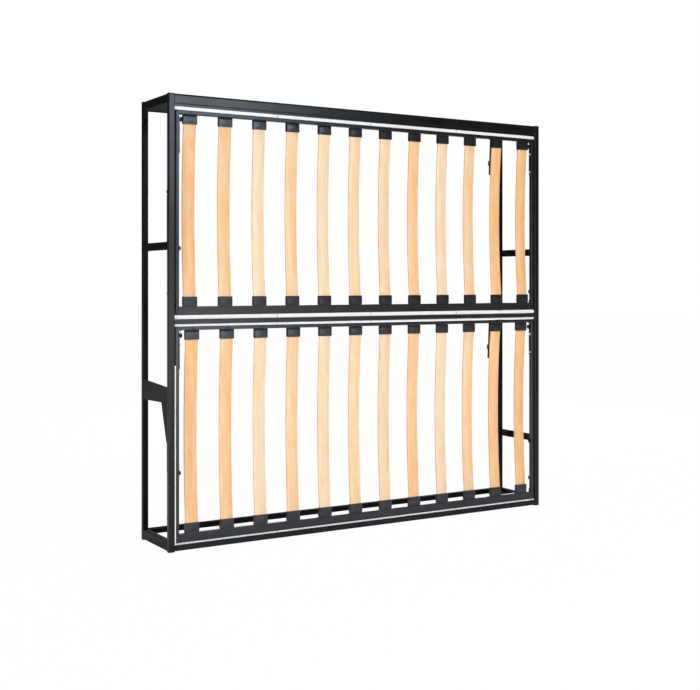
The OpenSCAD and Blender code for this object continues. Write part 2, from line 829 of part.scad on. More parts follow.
// The pin is drawn back, clear of its hole in the post
module lock_plunger(bed) {
    z = bed_top(bed) - lock_drop;
    knob_x = lock_boss_x + lock_boss_len + lock_travel + slip_gap;
    color(ZINC) rod_x(left_x(lock_tip_x), left_x(knob_x + eps), pivot_depth, z, lock_pin_r);
    color(PLASTIC) translate([left_x(knob_x), depth_y(pivot_depth), z]) rotate([0, 90, 0])
        rotate_extrude($fn = round_fn) polygon([
            [0, 0], [knob_r * 0.6, 0], [knob_r, knob_len * 0.35],
            [knob_r, knob_len * 0.8], [knob_r * 0.85, knob_len], [0, knob_len]
        ]);
}

module pivot_pins(bed) {
    nut_x = bed_inner_x;
    color(STEEL) both_sides() {
        rod_x(left_x(bush_x + eps), left_x(nut_x + pivot_nut_t + 3), pivot_depth, pivot_z(bed), pivot_r);
        rod_x(left_x(nut_x), left_x(nut_x + pivot_nut_t), pivot_depth, pivot_z(bed), pivot_nut_r, 6);
    }
}

// A tab on the back of the end tube carries the stud behind the post
module spring_studs(bed) {
    z = pivot_z(bed) - stud_drop;
    tab_h = 2 * (spring_pin_r + 4);
    color(STEEL) both_sides() {
        along_x(left_x(bed_x), stud_tab_t) translate([bed_rear, z - tab_h / 2])
            square([stud_depth - bed_rear + tab_h / 2, tab_h]);
        rod_x(left_x(spring_x + eye_w / 2 + slip_gap), left_x(bed_x + eps), stud_depth, z, spring_pin_r);
    }
}

// A tongue on the back of the end tube rests on the back of the post
module closed_stops(bed) {
    z = bed_z(bed) + closed_stop_rise - closed_stop_h / 2;
    rear = closed_stop_depth + closed_stop_t;
    color(STEEL) both_sides() {
        along_x(left_x(bed_x), bed_end_tube_w - tube_corner) translate([bed_rear, z])
            square([rear - bed_rear, closed_stop_h]);
        along_x(left_x(closed_stop_x), bed_x - closed_stop_x + eps) translate([closed_stop_depth, z])
            square([closed_stop_t, closed_stop_h]);
    }
}

// Gas springs: drawn along their own line from the anchor down to the stud

module spring_place(bed) {
    both_sides() translate([left_x(spring_x), depth_y(anchor_depth), pivot_z(bed) + anchor_rise])
        rotate([spring_tilt, 0, 0]) children();
}

module eye_disc(r) {
    rotate([0, 90, 0]) cylinder(r = r, h = eye_w, center = true, $fn = round_fn);
}

// A round piece of a spring from one length below the anchor to another
module spring_round(top, bottom, r) {
    translate([0, 0, -bottom]) cylinder(r = r, h = bottom - top, $fn = round_fn);
}

module spring_cylinders(bed) {
    bore_top = cylinder_top + cylinder_end_t;
    bore_end = cylinder_len - guide_len;
    color(STEEL) spring_place(bed) difference() {
        union() {
            eye_disc(eye_r);
            spring_round(eye_r / 2, cylinder_top + eps, eye_w / 2 - 1);
            spring_round(cylinder_top, cylinder_len, cylinder_r);
        }
        rotate([0, 90, 0])
            cylinder(r = spring_pin_r + run_gap, h = eye_w + 2 * eps, center = true, $fn = round_fn);
        spring_round(bore_top, bore_end, cylinder_bore_r);
        spring_round(bore_end - eps, cylinder_len + eps, rod_r + run_gap);
    }
}

module spring_rods(bed) {
    piston_top = spring_len - rod_len;
    color(ZINC) spring_place(bed) {
        translate([0, 0, -spring_len]) eye_disc(eye_r);
        translate([-eye_w / 2, 0, -spring_len]) rotate([0, -90, 0])
            cylinder(r = spring_pin_r + 1, h = pin_head_t, $fn = 6);
        spring_round(piston_top, spring_len, rod_r);
        spring_round(piston_top, piston_top + piston_len, cylinder_bore_r - run_gap);
    }
}

// Mattress strap: hangs from the top tube behind one slat, with its end sewn back below the buckle

// Depth of the strap's front at a height
function strap_depth(bed, z) =
    let (low = slat_mid_z(bed) + strap_flat)
    let (high = bed_top(bed) - bed_top_tube_h)
    let (share = min(max((z - low) / (high - low), 0), 1))
    crown_depth + share * (bed_rear - crown_depth);

module strap(bed) {
    top = bed_top(bed);
    tube_bottom = top - bed_top_tube_h;
    tail_top = top - buckle_drop - buckle_h / 2;
    end = tail_top - strap_tail;
    end_depth = strap_depth(bed, end);
    tail_depth = strap_depth(bed, tail_top);
    color(WEBBING) along_x(strap_x(bed) - strap_w / 2, strap_w) polygon([
        [bed_rear, top - tube_corner], [bed_rear, tube_bottom], [end_depth, end],
        [end_depth + 2 * strap_t, end], [tail_depth + 2 * strap_t, tail_top],
        [tail_depth + strap_t, tail_top], [bed_rear + strap_t, tube_bottom],
        [bed_rear + strap_t, top - tube_corner]
    ]);
}

module strap_buckle(bed) {
    rim = 3;
    z = bed_top(bed) - buckle_drop;
    depth = strap_depth(bed, z - buckle_h / 2) + strap_t;
    w = strap_w + 2 * rim;
    slot_h = (buckle_h - 3 * rim) / 2;
    color(PLASTIC) along_y(depth, buckle_t) difference() {
        translate([strap_x(bed) - w / 2, z - buckle_h / 2]) rounded_rect(w, buckle_h, rim / 2);
        for (low = [rim, 2 * rim + slot_h])
            translate([strap_x(bed) - strap_w / 2, z - buckle_h / 2 + low]) square([strap_w, slot_h]);
    }
}

front_post();  // front_post_left
right_side() front_post();  // front_post_right
rear_post();  // rear_post_left
right_side() rear_post();  // rear_post_right
top_rail_front();
top_rail_rear();
top_rail_side();  // top_rail_left
right_side() top_rail_side();  // top_rail_right
mid_rail();
bottom_rail_front();
bottom_rail_rear();
bottom_rail_side();  // bottom_rail_left
right_side() bottom_rail_side();  // bottom_rail_right
cross_bar("upper");  // cross_bar_upper_left
right_side() cross_bar("upper");  // cross_bar_upper_right
right_side() cross_bar("lower");  // cross_bar_lower_right
gusset_plate();
post_plugs();
foot_glides();
opening_strips();
spring_anchors();
open_stops();
pivot_bushes();
stand_bolts();
for (bed = BEDS) {
    bed_top_tube(bed);
    bed_bottom_tube(bed);
    bed_end_tube(bed);
    right_side() bed_end_tube(bed);
    slats(bed);
    slat_caps(bed);
    cap_rivets(bed);
    lock_plates(bed);
    lock_bolts(bed);
    pivot_pins(bed);
    spring_studs(bed);
    closed_stops(bed);
    strap(bed);
    strap_buckle(bed);
    lock_plunger(bed);
    right_side() lock_plunger(bed);
    spring_cylinders(bed);
    spring_rods(bed);
}
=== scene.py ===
"""Finishes, small fittings, light and camera for a stand with two folding slatted beds."""

import itertools
import json
import math

import bmesh
import bpy
from mathutils import Matrix, Vector


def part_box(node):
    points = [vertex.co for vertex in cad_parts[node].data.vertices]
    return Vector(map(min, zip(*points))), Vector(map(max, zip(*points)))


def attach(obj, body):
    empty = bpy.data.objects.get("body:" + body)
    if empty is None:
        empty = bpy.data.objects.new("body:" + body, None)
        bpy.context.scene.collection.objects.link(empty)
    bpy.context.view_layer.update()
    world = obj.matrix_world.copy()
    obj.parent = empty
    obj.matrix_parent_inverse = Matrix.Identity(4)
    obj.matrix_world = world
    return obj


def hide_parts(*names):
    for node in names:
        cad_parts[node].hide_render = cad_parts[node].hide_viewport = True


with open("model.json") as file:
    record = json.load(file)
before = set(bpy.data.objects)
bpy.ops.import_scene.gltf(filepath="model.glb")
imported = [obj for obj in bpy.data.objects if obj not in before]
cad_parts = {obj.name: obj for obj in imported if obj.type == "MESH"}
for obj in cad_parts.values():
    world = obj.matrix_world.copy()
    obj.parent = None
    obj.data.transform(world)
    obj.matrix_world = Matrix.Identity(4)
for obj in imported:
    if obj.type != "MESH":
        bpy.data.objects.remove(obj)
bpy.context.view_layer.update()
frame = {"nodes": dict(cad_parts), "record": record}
NODES = frame["nodes"]

MM = 0.001
BEDS = ("upper", "lower")

# Nodes by place: bars at the sides, all the steel behind the front (given a painted-shade copy of the
# coat), and the middle of the front (given a painted-light copy)
SIDE_BARS = (
    "top_rail_left", "top_rail_right", "bottom_rail_left", "bottom_rail_right",
    "cross_bar_upper_left", "cross_bar_upper_right", "cross_bar_lower_right",
)
BACK_NODES = SIDE_BARS + (
    "rear_post_left", "rear_post_right", "top_rail_rear", "bottom_rail_rear",
    "gusset_plate", "spring_anchors", "open_stops", "stand_bolts",
)
MID_NODES = ("mid_rail", "upper_bottom_tube")

# Camera, fitted to the corners of the stand in a picture 700 pixels wide
PICTURE_WIDTH = 700.0
FOCAL_PIXELS = 1158.0
SENSOR_WIDTH = 36.0
HORIZON_ABOVE_MIDDLE = 62.3
CAMERA_PLACE = Vector((-3.022, -4.910, 1.1855))
CAMERA_TURN = math.radians(31.4)

# Slats
SLAT_COUNT = 12
SLAT_WIDTH = 60 * MM
SLAT_THICK = 8 * MM
SLAT_PLIES = 7
SLAT_ROUNDING = 1.2 * MM
SLAT_TONE_SEED = 714.0
ROUNDING_SEGMENTS = 2
ROUNDED_PAST = math.radians(50)
JOINED_WITHIN = 0.01 * MM

# Mattress straps
STRAP_THICK = 1.8 * MM
STRAP_ON_TUBE = 14 * MM
STRAP_TAIL_TOP = 149 * MM
STRAP_COLUMNS = 6
STRAP_STEPS = 24
STRAP_FOLD_STEPS = 6
STRAP_TAIL_SKIP = 3
WEBBING_THICK = 0.9 * STRAP_THICK
WEBBING_ROUNDING = 0.4 * MM
STITCH_PITCH = 4.2 * MM
STITCH_MARGIN = 5 * MM
STITCH_SIZE = Vector((0.45, 0.35, 1.5)) * MM
STITCH_DETAIL = 1

# Bolts of the lock plates
BOLT_HEAD_RADIUS = 6 * MM
BOLT_HEAD_HEIGHT = 4 * MM
BOLT_HEAD_SIDES = 24
BOLT_HEAD_ROUNDING = 0.8 * MM
BOLT_HEAD_SEGMENTS = 3
BOLT_HEAD_RIM = 1.6 * MM
BOLT_SHANK_RADIUS = 3 * MM
BOLT_SHANK_LENGTH = 5 * MM
BOLT_SHANK_SIDES = 16
BOLT_SOCKET = 2.6 * MM
BOLT_SOCKET_DEPTH = 2.4 * MM
BOLT_SOCKET_DRAFT = 0.1 * MM
BOLT_SHARP_PAST = math.radians(35)

# Knobs of the lock plungers
KNOB_RADIUS = 11 * MM
KNOB_LENGTH = 6 * MM
KNOB_RIBS = 18
RIB_PLACE = 0.42 * KNOB_LENGTH
RIB_SINK = 0.35 * MM
RIB_SIZE = Vector((2.0, 0.75, 0.75)) * MM
RIB_DETAIL = 2

# Welds
WELD_PITCH = 2.4 * MM
WELD_SIZE = Vector((1.5 * MM, 1.5 * MM, WELD_PITCH))
WELD_DETAIL = 2
WELD_END = 2 * MM
PLATE_REAR_HEIGHT = 93 * MM
PLATE_FRONT_DROP = 16.5 * MM
SEAM_RADIUS = 0.6 * MM
SEAM_SIDES = 10
SEAM_START = 0.12

# Sheen: how rough, how glossy and how dusty the black pieces are
SATIN = (0.27, 0.35)
SATIN_PLASTIC = (0.27, 0.34)
MATT = 0.95
MATT_FADE = 0.8 * MM
LEVEL_MATT = 0.75
MATT_EDGE = 8 * MM
# Depth of the band at the top of each slat cap that gets painted shade from the tube above
CAP_SHADE_BAND = 9 * MM
COAT_TINT = (0.97, 0.95, 1.0, 1)
COOL_TINT = (0.81, 0.88, 1.0, 1)
BED_GLOSS = {"upper": 0.55, "lower": 0.88}
CAP_GLOSS = 1.1
DUST = 0.10
LITTLE_DUST = 0.02
DUST_GREY = (0.20, 0.20, 0.20, 1)
SKIN_BUMP = 0.12
BUMP_DEPTH = 0.2 * MM

# Beech: its two tones, and for each mark of the grain how strong it is and its colour
BEECH_PALE = (0.950, 0.755, 0.560, 1)
BEECH_WARM = (0.935, 0.490, 0.185, 1)
RING_BROWN = (0.90, 0.43, 0.15, 1)
EDGE_TAN = (0.93, 0.52, 0.24, 1)
GLUE_BROWN = (0.42, 0.19, 0.07, 1)
GRAIN_MARKS = {
    "Knots": (0.35, (0.72, 0.30, 0.10, 1)),
    "Fibres": (0.13, (0.72, 0.36, 0.13, 1)),
    "Flecks": (0.28, (0.50, 0.22, 0.08, 1)),
}

# White strips round the openings, with the joints' fade counted in lengths from the middle
STRIP_LENGTHS = 4
STRIP_JOINT = 2.4 * MM
STRIP_JOINT_SHADE = 0.55
STRIP_JOINT_FADE = (1.4, 1.5)

# Room and floor
WHITE = (1, 1, 1, 1)
ROOM_LIGHT = 0.45
ROOM_COLOUR = (1.0, 0.98, 0.955, 1)
DARK_ROOM = 0.05
BACKDROP_FROM_FRONT = (-0.1, 0.4)
BACKDROP_FROM_LEFT = (-0.15, 0.35)
FLOOR_REACH = 30.0
FLOOR_COLOUR = (0.90, 0.90, 0.90, 1)
FLOOR_ROUGHNESS = 0.9
FLOOR_GLOW = 0.985

# Lamps: places, aims and sizes in metres, power in watts, spread in degrees
PLAIN_LIGHT = (1.0, 0.99, 0.98)
COOL_LIGHT = (0.82, 0.93, 1.0)
LAMPS = {
    "key": dict(place=(0.60, -3.95, 2.55), aim=(-0.75, 0.0, 1.35),
                size=(1.5, 1.1), power=42.0, colour=COOL_LIGHT),
    "low_key": dict(place=(0.55, -3.95, 0.80), aim=(-0.75, 0.0, 0.95),
                    size=(1.3, 0.8), power=9.0),
    "fill": dict(place=(-1.8, -9.0, 0.9), aim=(0.2, 0.0, 0.8),
                 size=(3.0, 2.4), power=138.0),
    "low_fill": dict(place=(-2.0, -5.0, 0.30), aim=(0.1, 0.0, 0.25),
                     size=(2.0, 0.5), power=3.8, spread=60),
    "right_fill": dict(place=(2.4, -7.0, 0.6), aim=(0.95, 0.0, 0.75),
                       size=(1.5, 1.5), power=0.9, spread=26),
    "side": dict(place=(-6.0, -2.2, 1.2), aim=(0.0, 0.0, 1.0),
                 size=(2.0, 2.0), power=82.0),
    "back": dict(place=(3.4, 4.6, 2.4), aim=(0.0, 0.0, 1.0),
                 size=(2.4, 2.0), power=105.0),
}


# Building nodes

def feed(tree, socket, value):
    """Gives a socket a value, or links another node's output to it."""
    if isinstance(value, bpy.types.NodeSocket):
        tree.links.new(value, socket)
    else:
        socket.default_value = value


def add(tree, kind, inputs=None, **settings):
    """A shader node with its settings and its inputs, each a value or another node's output."""
    made = tree.nodes.new(kind)
    for name, value in settings.items():
        setattr(made, name, value)
    for name, value in (inputs or {}).items():
        feed(tree, made.inputs[name], value)
    return made


def math_of(tree, operation, *values):
    """The result of a Math node."""
    return add(tree, "ShaderNodeMath", dict(enumerate(values)), operation=operation).outputs[0]


def ramp_of(tree, value, low, high, to_low=0.0, to_high=1.0):
    """A value spread from one range to another, held at the ends."""
    inputs = {"Value": value, "From Min": low, "From Max": high, "To Min": to_low, "To Max": to_high}
    return add(tree, "ShaderNodeMapRange", inputs).outputs["Result"]


def between(tree, share, first, last):
    """A value between two others, by a share from 0 to 1."""
    return ramp_of(tree, share, 0.0, 1.0, first, last)


def mix_of(tree, share, first, second):
    """Two colours mixed by a share."""
    made = add(tree, "ShaderNodeMix", data_type="RGBA")
    for socket, value in zip((made.inputs[0], made.inputs[6], made.inputs[7]), (share, first, second)):
        feed(tree, socket, value)
    return made.outputs[2]


def stained(tree, colour, mask, strength, stain):
    """A colour with a stain laid over it where a mask says, as strong as given."""
    return mix_of(tree, math_of(tree, "MULTIPLY", mask, strength), colour, stain)


def axis_of(tree, vector, axis):
    """One axis of a place or a direction."""
    return add(tree, "ShaderNodeSeparateXYZ", {"Vector": vector}).outputs[axis]


def facing(tree, axis):
    """How far a face looks along an axis."""
    return axis_of(tree, add(tree, "ShaderNodeNewGeometry").outputs["Normal"], axis)


def stretched(tree, place, scale):
    """Object coordinates scaled along each axis."""
    return add(tree, "ShaderNodeMapping", {"Vector": place, "Scale": scale}).outputs["Vector"]


def noise_of(tree, place, scale=1.0, detail=2.0, roughness=0.5):
    """A noise value over the surface."""
    inputs = {"Vector": place, "Scale": scale, "Detail": detail, "Roughness": roughness}
    return add(tree, "ShaderNodeTexNoise", inputs).outputs[0]


def bands_of(tree, place, direction, scale, distortion, detail, detail_scale=1.0):
    """Soft bands across a direction."""
    inputs = {"Vector": place, "Scale": scale, "Distortion": distortion, "Detail": detail,
              "Detail Scale": detail_scale}
    return add(tree, "ShaderNodeTexWave", inputs, bands_direction=direction).outputs["Fac"]


def effect_group(name, inputs, outputs):
    """A shader node group with named sockets: the group, what it is given and what it puts out."""
    group = bpy.data.node_groups.new(name, "ShaderNodeTree")
    for label, kind in inputs.items():
        group.interface.new_socket(label, in_out="INPUT", socket_type=kind)
    for label in outputs:
        group.interface.new_socket(label, in_out="OUTPUT", socket_type="NodeSocketFloat")
    return group, group.nodes.new("NodeGroupInput").outputs, group.nodes.new("NodeGroupOutput").inputs


def place_group(tree, group, **inputs):
    """The outputs of one use of a node group in a material."""
    return add(tree, "ShaderNodeGroup", inputs, node_tree=group).outputs


# Shared effects

def orange_peel_group():
    """The dimples of a sprayed or moulded skin, and its slow change of tone."""
    inputs = {"Place": "NodeSocketVector", "Scale": "NodeSocketFloat"}
    group, given, result = effect_group("orange_peel", inputs, ("Height", "Tone"))
    dimples = noise_of(group, given["Place"], given["Scale"], detail=3.0, roughness=0.55)
    cloud = noise_of(group, given["Place"], scale=3.5, detail=4.0, roughness=0.6)
    feed(group, result["Height"], dimples)
    feed(group, result["Tone"], ramp_of(group, cloud, low=0.3, high=0.7))
    return group


def scuff_group():
    """Fine rubbed lines that break up a smooth skin."""
    group, given, result = effect_group("scuffs", {"Place": "NodeSocketVector"}, ("Mask",))
    along = stretched(group, given["Place"], scale=(60.0, 900.0, 45.0))
    lines = noise_of(group, along, detail=4.0, roughness=0.65)
    patches = noise_of(group, given["Place"], scale=7.0)
    thin = ramp_of(group, lines, low=0.62, high=0.72)
    where = ramp_of(group, patches, low=0.5, high=0.7)
    feed(group, result["Mask"], math_of(group, "MULTIPLY", thin, where))
    return group


def knots_of(group, place):
    """Small round knots in some cells of the wood."""
    along = stretched(group, place, scale=(16.0, 16.0, 5.0))
    cells = add(group, "ShaderNodeTexVoronoi", {"Vector": along, "Scale": 1.0}).outputs
    lot = add(group, "ShaderNodeSeparateColor", {"Color": cells["Color"]}).outputs["Red"]
    chosen = ramp_of(group, lot, low=0.70, high=0.74)
    spot = ramp_of(group, cells["Distance"], low=0.03, high=0.16, to_low=1.0, to_high=0.0)
    return math_of(group, "MULTIPLY", spot, chosen)


def wood_grain_group():
    """Growth streaks, rings, clouds, fine fibres, short flecks and knots of beech, along Z."""
    outputs = ("Streaks", "Fibres", "Flecks", "Knots", "Rings", "Clouds")
    group, given, result = effect_group("beech_grain", {"Place": "NodeSocketVector"}, outputs)
    place = given["Place"]
    streaks = noise_of(group, stretched(group, place, (75.0, 75.0, 2.2)), detail=5.0, roughness=0.55)
    fibres = noise_of(group, stretched(group, place, (900.0, 900.0, 14.0)), detail=3.0, roughness=0.6)
    dashes = noise_of(group, stretched(group, place, (650.0, 650.0, 85.0)), detail=1.0, roughness=0.4)
    clouds = noise_of(group, stretched(group, place, (34.0, 34.0, 9.0)), detail=4.0, roughness=0.62)
    rings = bands_of(group, stretched(group, place, (1.0, 1.0, 0.11)), "X", scale=19.0, distortion=8.0,
                     detail=3.0, detail_scale=1.3)
    feed(group, result["Streaks"], ramp_of(group, streaks, low=0.28, high=0.72))
    feed(group, result["Fibres"], ramp_of(group, fibres, low=0.3, high=0.7))
    feed(group, result["Flecks"], ramp_of(group, dashes, low=0.66, high=0.76))
    feed(group, result["Knots"], knots_of(group, place))
    feed(group, result["Rings"], ramp_of(group, rings, low=0.45, high=0.95))
    feed(group, result["Clouds"], ramp_of(group, clouds, low=0.32, high=0.68, to_low=-0.5, to_high=0.5))
    return group


ORANGE_PEEL = orange_peel_group()
SCUFFS = scuff_group()
BEECH_GRAIN = wood_grain_group()


# Finishes

def new_finish(name, **constants):
    """A material with a Principled shader, and the sockets that stay the same all over set on it."""
    material = bpy.data.materials.new(name)
    material.use_nodes = True
    tree = material.node_tree
    skin = tree.nodes["Principled BSDF"]
    for label, value in constants.items():
        skin.inputs[label.replace("_", " ")].default_value = value
    place = add(tree, "ShaderNodeTexCoord").outputs["Object"]
    return material, tree, skin, place


def dress(tree, skin, colour, roughness, height, bump, depth=BUMP_DEPTH):
    """Links a colour, a roughness and a bump height to the shader."""
    feed(tree, skin.inputs["Base Color"], colour)
    feed(tree, skin.inputs["Roughness"], roughness)
    raised = add(tree, "ShaderNodeBump", {"Height": height, "Strength": bump, "Distance": depth})
    feed(tree, skin.inputs["Normal"], raised.outputs["Normal"])


def level_share(tree, height):
    """How level a face is, from how far it looks up."""
    return ramp_of(tree, height, low=0.75, high=1.0)


def above(tree, place, height):
    """A mask of what lies above a height, with a short fade."""
    return ramp_of(tree, axis_of(tree, place, "Z"), height, height + MATT_FADE)


def roughened(tree, roughness, mask, least):
    """A roughness that is at least so much where a mask says."""
    return math_of(tree, "MAXIMUM", roughness, math_of(tree, "MULTIPLY", mask, least))


def powder_coat(name, gloss, dark, light, tint=COAT_TINT, dust=DUST, level_matt=None, matt_above=None):
    """Satin black powder coat: orange peel, slow changes of tone, dust on top, and matt where asked."""
    material, tree, skin, place = new_finish(name, IOR=1.5, Specular_IOR_Level=gloss, Specular_Tint=tint)
    peel = place_group(tree, ORANGE_PEEL, Place=place, Scale=900.0)
    scuffs = place_group(tree, SCUFFS, Place=place)["Mask"]
    upward = facing(tree, "Z")
    colour = mix_of(tree, peel["Tone"], dark, light)
    colour = stained(tree, colour, scuffs, strength=0.35, stain=(0.030, 0.032, 0.036, 1))
    colour = stained(tree, colour, level_share(tree, upward), dust, DUST_GREY)
    roughness = between(tree, peel["Tone"], *SATIN)
    if level_matt is not None:
        level = level_share(tree, math_of(tree, "ABSOLUTE", upward))
        roughness = roughened(tree, roughness, level, level_matt)
    if matt_above is not None:
        roughness = roughened(tree, roughness, above(tree, place, matt_above), MATT)
    dress(tree, skin, colour, roughness, peel["Height"], SKIN_BUMP)
    return material


def moulded_plastic(name, gloss, matt_above=None):
    """Black moulded plastic: a fine spark texture, bluer than the coat, with painted shade on a band at its
    top, which is also matt.
    """
    shine = {"IOR": 1.48, "Specular_IOR_Level": gloss, "Specular_Tint": COOL_TINT}
    material, tree, skin, place = new_finish(name, **shine)
    peel = place_group(tree, ORANGE_PEEL, Place=place, Scale=1600.0)
    scuffs = place_group(tree, SCUFFS, Place=place)["Mask"]
    colour = mix_of(tree, peel["Tone"], (0.0090, 0.0092, 0.0100, 1), (0.0150, 0.0153, 0.0165, 1))
    colour = stained(tree, colour, scuffs, strength=0.3, stain=(0.06, 0.062, 0.066, 1))
    roughness = between(tree, peel["Tone"], *SATIN_PLASTIC)
    if matt_above is not None:
        # Painted shade: above the given height the plastic is darkened, standing in for the shadow under
        # the tube, and made matt
        painted_shade_band = above(tree, place, matt_above)
        colour = mix_of(tree, painted_shade_band, colour, (0.0040, 0.0040, 0.0043, 1))
        roughness = roughened(tree, roughness, painted_shade_band, MATT)
    dress(tree, skin, colour, roughness, peel["Height"], SKIN_BUMP)
    return material


def own_tone(tree, place, first_x, pitch):
    """A number from 0 to 1 that is each slat's own."""
    along = math_of(tree, "SUBTRACT", axis_of(tree, place, "X"), first_x - pitch / 2)
    number = math_of(tree, "FLOOR", math_of(tree, "DIVIDE", along, pitch))
    seed = math_of(tree, "ADD", number, SLAT_TONE_SEED)
    return add(tree, "ShaderNodeTexWhiteNoise", {"W": seed}, noise_dimensions="1D").outputs["Value"]


def glue_lines(tree, place, bow_middle, bow_radius):
    """Thin lines between the plies, which follow the bow: read from the distance to its centre."""
    squares = []
    for axis, middle in zip("YZ", bow_middle):
        off = math_of(tree, "SUBTRACT", axis_of(tree, place, axis), middle)
        squares.append(math_of(tree, "MULTIPLY", off, off))
    reach = math_of(tree, "SQRT", math_of(tree, "ADD", *squares))
    plies = math_of(tree, "DIVIDE", math_of(tree, "SUBTRACT", reach, bow_radius), SLAT_THICK / SLAT_PLIES)
    off_middle = math_of(tree, "ABSOLUTE", math_of(tree, "SUBTRACT", math_of(tree, "FRACT", plies), 0.5))
    return ramp_of(tree, off_middle, low=0.36, high=0.47, to_low=0.0, to_high=0.24)


def beech(bed, first_x, pitch, bow_middle, bow_radius):
    """Lacquered laminated beech: a tone for each slat, grain along it, and plies on its edges."""
    lacquer = {"IOR": 1.5, "Coat_Weight": 0.12, "Coat_Roughness": 0.25}
    material, tree, skin, place = new_finish(bed + "_beech", **lacquer)
    grain = place_group(tree, BEECH_GRAIN, Place=place)
    own = own_tone(tree, place, first_x, pitch)
    paleness = between(tree, own, -0.12, 0.63)
    paleness = math_of(tree, "MULTIPLY_ADD", grain["Streaks"], 0.50, paleness)
    paleness = math_of(tree, "MULTIPLY_ADD", grain["Clouds"], 0.34, paleness)
    colour = mix_of(tree, paleness, BEECH_WARM, BEECH_PALE)
    colour = stained(tree, colour, grain["Rings"], between(tree, own, 0.34, 0.12), RING_BROWN)
    for mark, (strength, brown) in GRAIN_MARKS.items():
        colour = stained(tree, colour, grain[mark], strength, brown)
    edge = ramp_of(tree, math_of(tree, "ABSOLUTE", facing(tree, "X")), low=0.8, high=0.95)
    colour = stained(tree, colour, edge, strength=0.25, stain=EDGE_TAN)
    colour = stained(tree, colour, edge, glue_lines(tree, place, bow_middle, bow_radius), GLUE_BROWN)
    roughness = between(tree, grain["Fibres"], 0.36, 0.52)
    dress(tree, skin, colour, roughness, grain["Fibres"], bump=0.10, depth=0.3 * MM)
    return material


def slat_finish(bed):
    """The beech of one bed, from where its slats lie."""
    low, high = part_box(bed + "_slats")
    first = low.x + SLAT_WIDTH / 2
    pitch = (high.x - low.x - SLAT_WIDTH) / (SLAT_COUNT - 1)
    middle = (low.z + high.z) / 2
    half = (high.z - low.z) / 2
    rise = high.y - low.y - SLAT_THICK
    radius = (half * half + rise * rise) / (2 * rise)
    centre = high.y - SLAT_THICK / 2 - radius
    return beech(bed, first, pitch, (centre, middle), radius)


def white_strip():
    """Smooth white plastic with a faint cloud, and a dark line where two lengths meet."""
    low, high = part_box("opening_strips")
    material, tree, skin, place = new_finish("white_strip", IOR=1.48, Specular_IOR_Level=0.35)
    peel = place_group(tree, ORANGE_PEEL, Place=place, Scale=700.0)
    colour = mix_of(tree, peel["Tone"], (0.89, 0.89, 0.90, 1), (0.94, 0.94, 0.945, 1))
    length = (high.x - low.x) / STRIP_LENGTHS
    across = math_of(tree, "SUBTRACT", axis_of(tree, place, "X"), (low.x + high.x) / 2)
    from_middle = math_of(tree, "ABSOLUTE", across)
    to_joint = math_of(tree, "PINGPONG", from_middle, length / 2)
    joint = ramp_of(tree, to_joint, STRIP_JOINT / 2, STRIP_JOINT, to_low=1.0, to_high=0.0)
    fade_start, fade_end = [share * length for share in STRIP_JOINT_FADE]
    inside = ramp_of(tree, from_middle, fade_start, fade_end, STRIP_JOINT_SHADE, 0.0)
    colour = stained(tree, colour, joint, inside, stain=(0.05, 0.05, 0.055, 1))
    roughness = between(tree, peel["Tone"], 0.28, 0.38)
    dress(tree, skin, colour, roughness, peel["Height"], bump=0.04)
    return material


def bright_zinc():
    """Bright zinc plate on bolts, pins and rods: brushed, with small darker spots."""
    material, tree, skin, place = new_finish("bright_zinc", Metallic=0.55)
    peel = place_group(tree, ORANGE_PEEL, Place=place, Scale=420.0)
    brushed = noise_of(tree, stretched(tree, place, (90.0, 1500.0, 1500.0)), detail=3.0, roughness=0.6)
    colour = mix_of(tree, peel["Height"], (0.72, 0.74, 0.77, 1), (0.86, 0.88, 0.90, 1))
    roughness = ramp_of(tree, brushed, low=0.3, high=0.7, to_low=0.42, to_high=0.60)
    dress(tree, skin, colour, roughness, brushed, bump=0.06)
    return material


def strap_webbing():
    """Black woven webbing: ribs along the strap, crossed by fine weft."""
    sheen = {"Sheen_Weight": 0.15, "Sheen_Roughness": 0.5, "Specular_IOR_Level": 0.2}
    material, tree, skin, place = new_finish("black_webbing", **sheen)
    ribs = bands_of(tree, place, "X", scale=160.0, distortion=0.4, detail=1.0)
    weft = bands_of(tree, place, "Z", scale=210.0, distortion=0.6, detail=1.0)
    weave = math_of(tree, "MULTIPLY", ribs, between(tree, weft, 0.55, 1.0))
    fluff = noise_of(tree, place, scale=420.0, detail=3.0, roughness=0.6)
    shade = math_of(tree, "MULTIPLY_ADD", weave, 0.7, math_of(tree, "MULTIPLY", fluff, 0.3))
    colour = mix_of(tree, shade, (0.004, 0.004, 0.0045, 1), (0.022, 0.022, 0.024, 1))
    roughness = ramp_of(tree, fluff, low=0.3, high=0.7, to_low=0.78, to_high=0.92)
    dress(tree, skin, colour, roughness, weave, bump=0.5, depth=0.4 * MM)
    return material


def black_thread():
    """Polyester sewing thread: a soft sheen and a fine twist."""
    material, tree, skin, place = new_finish("black_thread", Sheen_Weight=0.2, Specular_IOR_Level=0.3)
    twist = noise_of(tree, place, scale=2600.0)
    colour = mix_of(tree, twist, (0.012, 0.012, 0.013, 1), (0.040, 0.040, 0.043, 1))
    roughness = ramp_of(tree, twist, low=0.3, high=0.7, to_low=0.55, to_high=0.75)
    dress(tree, skin, colour, roughness, twist, bump=0.2)
    return material


# Stage: floor, room light, lamps and camera

def backdrop_share(tree):
    """How white the room is in a direction: white behind the stand, dark in front and on the left."""
    way = add(tree, "ShaderNodeTexCoord").outputs["Generated"]
    behind = ramp_of(tree, axis_of(tree, way, "Y"), *BACKDROP_FROM_FRONT)
    rightward = ramp_of(tree, axis_of(tree, way, "X"), *BACKDROP_FROM_LEFT)
    return between(tree, math_of(tree, "MULTIPLY", behind, rightward), DARK_ROOM, 1.0)


